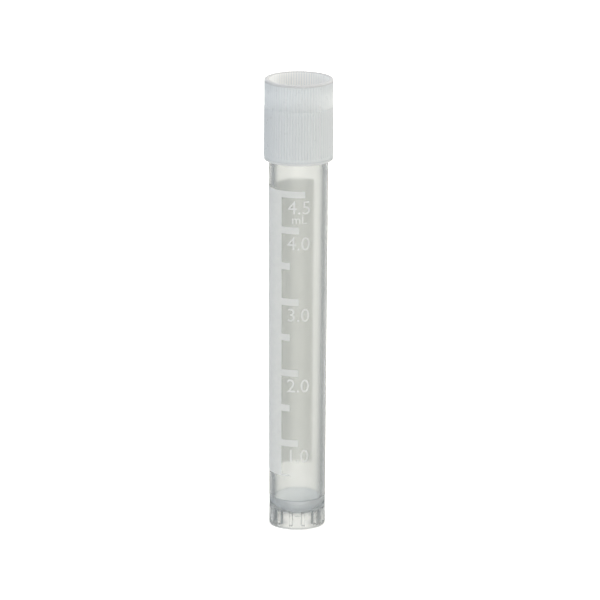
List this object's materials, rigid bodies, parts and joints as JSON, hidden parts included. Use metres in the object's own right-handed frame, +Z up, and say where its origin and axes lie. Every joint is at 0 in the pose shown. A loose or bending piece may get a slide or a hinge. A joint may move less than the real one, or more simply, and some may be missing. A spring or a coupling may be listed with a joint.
{
  "type": "cryogenic vial",
  "caption": "Tall self-standing cryogenic vial: slender drafted tube with a ribbed foot skirt and a graduated writing patch, closed by a knurled screw cap with an open top recess.",
  "frame": {"origin": "centre of the standing face, under the foot's skirt", "axes": "+Z up along the vial's axis towards the cap, -Y towards the graduations' side that faces the viewer"},
  "size_m": [0.0138, 0.0138, 0.092],
  "materials": {
    "tube_plastic": "natural polypropylene, clear and slightly milky, moulded gloss",
    "cap_plastic": "natural polypropylene, milky, fine moulded satin",
    "seal_silicone": "translucent silicone, matt",
    "print_ink": "white screen-printed ink, matt"
  },
  "bodies": {
    "tube": {"vial_tube": "tube_plastic"},
    "seal": {"seal_ring": "seal_silicone"},
    "cap": {"screw_cap": "cap_plastic"}
  },
  "joints": [
    {"name": "cap_rise", "type": "slide", "parent": "tube", "child": "seal", "axis": [0, 0, 1], "range_m": [0, 0.0045]},
    {"name": "cap_turn", "type": "hinge", "parent": "seal", "child": "cap", "pos_m": [0, 0, 0.08], "axis": [0, 0, 1], "range_deg": [0, 540]}
  ],
  "couplings": [
    {"joint": "cap_turn", "follows": "cap_rise", "rad_per_m": 2094.4}
  ]
}
